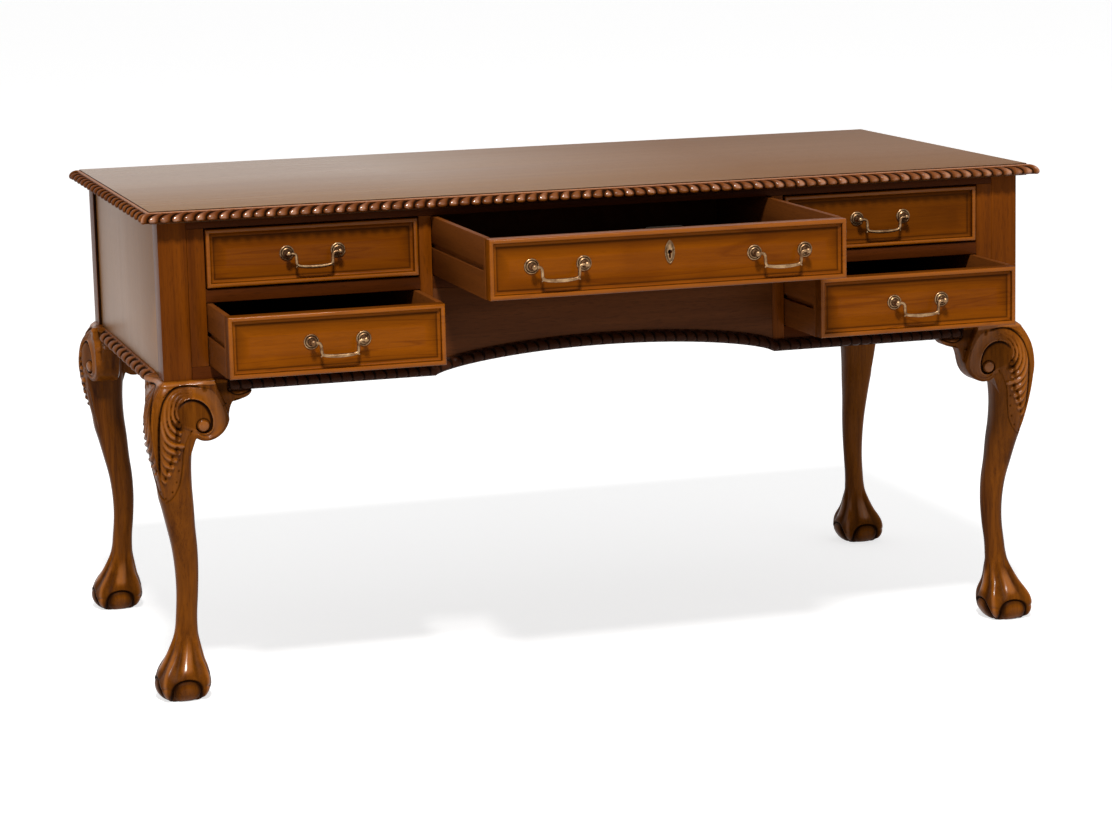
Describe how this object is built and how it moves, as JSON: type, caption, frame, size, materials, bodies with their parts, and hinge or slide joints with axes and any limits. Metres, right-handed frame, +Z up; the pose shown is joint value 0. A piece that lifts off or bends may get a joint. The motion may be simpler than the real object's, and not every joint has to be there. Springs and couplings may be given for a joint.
{
  "type": "writing desk",
  "caption": "Mahogany kneehole writing desk with side and centre drawers on side runners, cabriole legs with knee brackets and ball feet, lobed edge mouldings and brass bail handles.",
  "frame": {"origin": "on the floor, under the middle of the desk's box with the drawers as they are pulled out in the picture", "axes": "+X to the right along the front, +Y from the front to the back, +Z up"},
  "size_m": [1.5146, 1.0772, 0.78],
  "materials": {
    "polished_mahogany": "figured mahogany, hand polished to a soft gloss, brown with red in the grain",
    "carved_mahogany": "carved mahogany, polished, darker in the hollows",
    "drawer_mahogany": "straight-grained mahogany drawer fronts, golden orange brown, waxed",
    "inner_timber": "plain mahogany sides and runners, thin finish, dull",
    "aged_brass": "brass gone brown in the hollows, rubbed bright on the high places",
    "lock_steel": "plain steel lock parts, slightly dulled"
  },
  "bodies": {
    "root": {"top_board": "polished_mahogany", "top_edge_moulding": "carved_mahogany", "top_rail": "polished_mahogany", "arched_apron": "polished_mahogany", "front_bottom_moulding": "carved_mahogany", "back_panel": "polished_mahogany", "mid_rail_center": "polished_mahogany", "mid_rail_left": "polished_mahogany", "mid_rail_right": "polished_mahogany", "bottom_rail_left": "polished_mahogany", "bottom_rail_right": "polished_mahogany", "filler_stile_left": "polished_mahogany", "filler_stile_right": "polished_mahogany", "kneehole_stile_left": "polished_mahogany", "kneehole_stile_right": "polished_mahogany", "leg_front_left": "carved_mahogany", "leg_front_right": "carved_mahogany", "leg_rear_left": "carved_mahogany", "leg_rear_right": "carved_mahogany", "knee_bracket_front_left": "carved_mahogany", "knee_bracket_front_right": "carved_mahogany", "knee_bracket_side_left": "carved_mahogany", "knee_bracket_side_right": "carved_mahogany", "end_panel_left": "polished_mahogany", "end_panel_right": "polished_mahogany", "side_bottom_moulding_left": "carved_mahogany", "side_bottom_moulding_right": "carved_mahogany", "partition_left": "inner_timber", "partition_right": "inner_timber"},
    "upper_left_drawer": {"drawer_front_upper_left": "drawer_mahogany", "drawer_box_upper_left": "inner_timber", "handle_post_upper_left_left": "aged_brass", "handle_post_upper_left_right": "aged_brass"},
    "lower_left_drawer": {"drawer_front_lower_left": "drawer_mahogany", "drawer_box_lower_left": "inner_timber", "handle_post_lower_left_left": "aged_brass", "handle_post_lower_left_right": "aged_brass"},
    "center_drawer": {"drawer_front_center": "drawer_mahogany", "drawer_box_center": "inner_timber", "handle_post_center_left_left": "aged_brass", "handle_post_center_left_right": "aged_brass", "handle_post_center_right_left": "aged_brass", "handle_post_center_right_right": "aged_brass", "escutcheon": "aged_brass", "lock_case": "lock_steel"},
    "upper_right_drawer": {"drawer_front_upper_right": "drawer_mahogany", "drawer_box_upper_right": "inner_timber", "handle_post_upper_right_left": "aged_brass", "handle_post_upper_right_right": "aged_brass"},
    "lower_right_drawer": {"drawer_front_lower_right": "drawer_mahogany", "drawer_box_lower_right": "inner_timber", "handle_post_lower_right_left": "aged_brass", "handle_post_lower_right_right": "aged_brass"},
    "upper_left_bail": {"bail_upper_left": "aged_brass"},
    "lower_left_bail": {"bail_lower_left": "aged_brass"},
    "center_left_bail": {"bail_center_left": "aged_brass"},
    "center_right_bail": {"bail_center_right": "aged_brass"},
    "upper_right_bail": {"bail_upper_right": "aged_brass"},
    "lower_right_bail": {"bail_lower_right": "aged_brass"},
    "bolt": {"lock_bolt": "lock_steel"}
  },
  "joints": [
    {"name": "upper_left_drawer_slide", "type": "slide", "parent": "root", "child": "upper_left_drawer", "axis": [0, -1, 0], "range_m": [0, 0.43]},
    {"name": "lower_left_drawer_slide", "type": "slide", "parent": "root", "child": "lower_left_drawer", "axis": [0, -1, 0], "range_m": [-0.157, 0.273]},
    {"name": "center_drawer_slide", "type": "slide", "parent": "root", "child": "center_drawer", "axis": [0, -1, 0], "range_m": [-0.33, 0.1]},
    {"name": "upper_right_drawer_slide", "type": "slide", "parent": "root", "child": "upper_right_drawer", "axis": [0, -1, 0], "range_m": [0, 0.43]},
    {"name": "lower_right_drawer_slide", "type": "slide", "parent": "root", "child": "lower_right_drawer", "axis": [0, -1, 0], "range_m": [-0.157, 0.273]},
    {"name": "upper_left_bail_hinge", "type": "hinge", "parent": "upper_left_drawer", "child": "upper_left_bail", "pos_m": [-0.479, -0.20375, 0.70175], "axis": [-1, 0, 0], "range_deg": [-25, 90]},
    {"name": "lower_left_bail_hinge", "type": "hinge", "parent": "lower_left_drawer", "child": "lower_left_bail", "pos_m": [-0.479, -0.36075, 0.5835], "axis": [-1, 0, 0], "range_deg": [-25, 90]},
    {"name": "center_left_bail_hinge", "type": "hinge", "parent": "center_drawer", "child": "center_left_bail", "pos_m": [-0.177, -0.53375, 0.70175], "axis": [-1, 0, 0], "range_deg": [-25, 90]},
    {"name": "center_right_bail_hinge", "type": "hinge", "parent": "center_drawer", "child": "center_right_bail", "pos_m": [0.177, -0.53375, 0.70175], "axis": [-1, 0, 0], "range_deg": [-25, 90]},
    {"name": "upper_right_bail_hinge", "type": "hinge", "parent": "upper_right_drawer", "child": "upper_right_bail", "pos_m": [0.479, -0.20375, 0.70175], "axis": [-1, 0, 0], "range_deg": [-25, 90]},
    {"name": "lower_right_bail_hinge", "type": "hinge", "parent": "lower_right_drawer", "child": "lower_right_bail", "pos_m": [0.479, -0.36075, 0.5835], "axis": [-1, 0, 0], "range_deg": [-25, 90]},
    {"name": "lock_bolt_slide", "type": "slide", "parent": "center_drawer", "child": "bolt", "axis": [0, 0, 1], "range_m": [0, 0.007]}
  ]
}
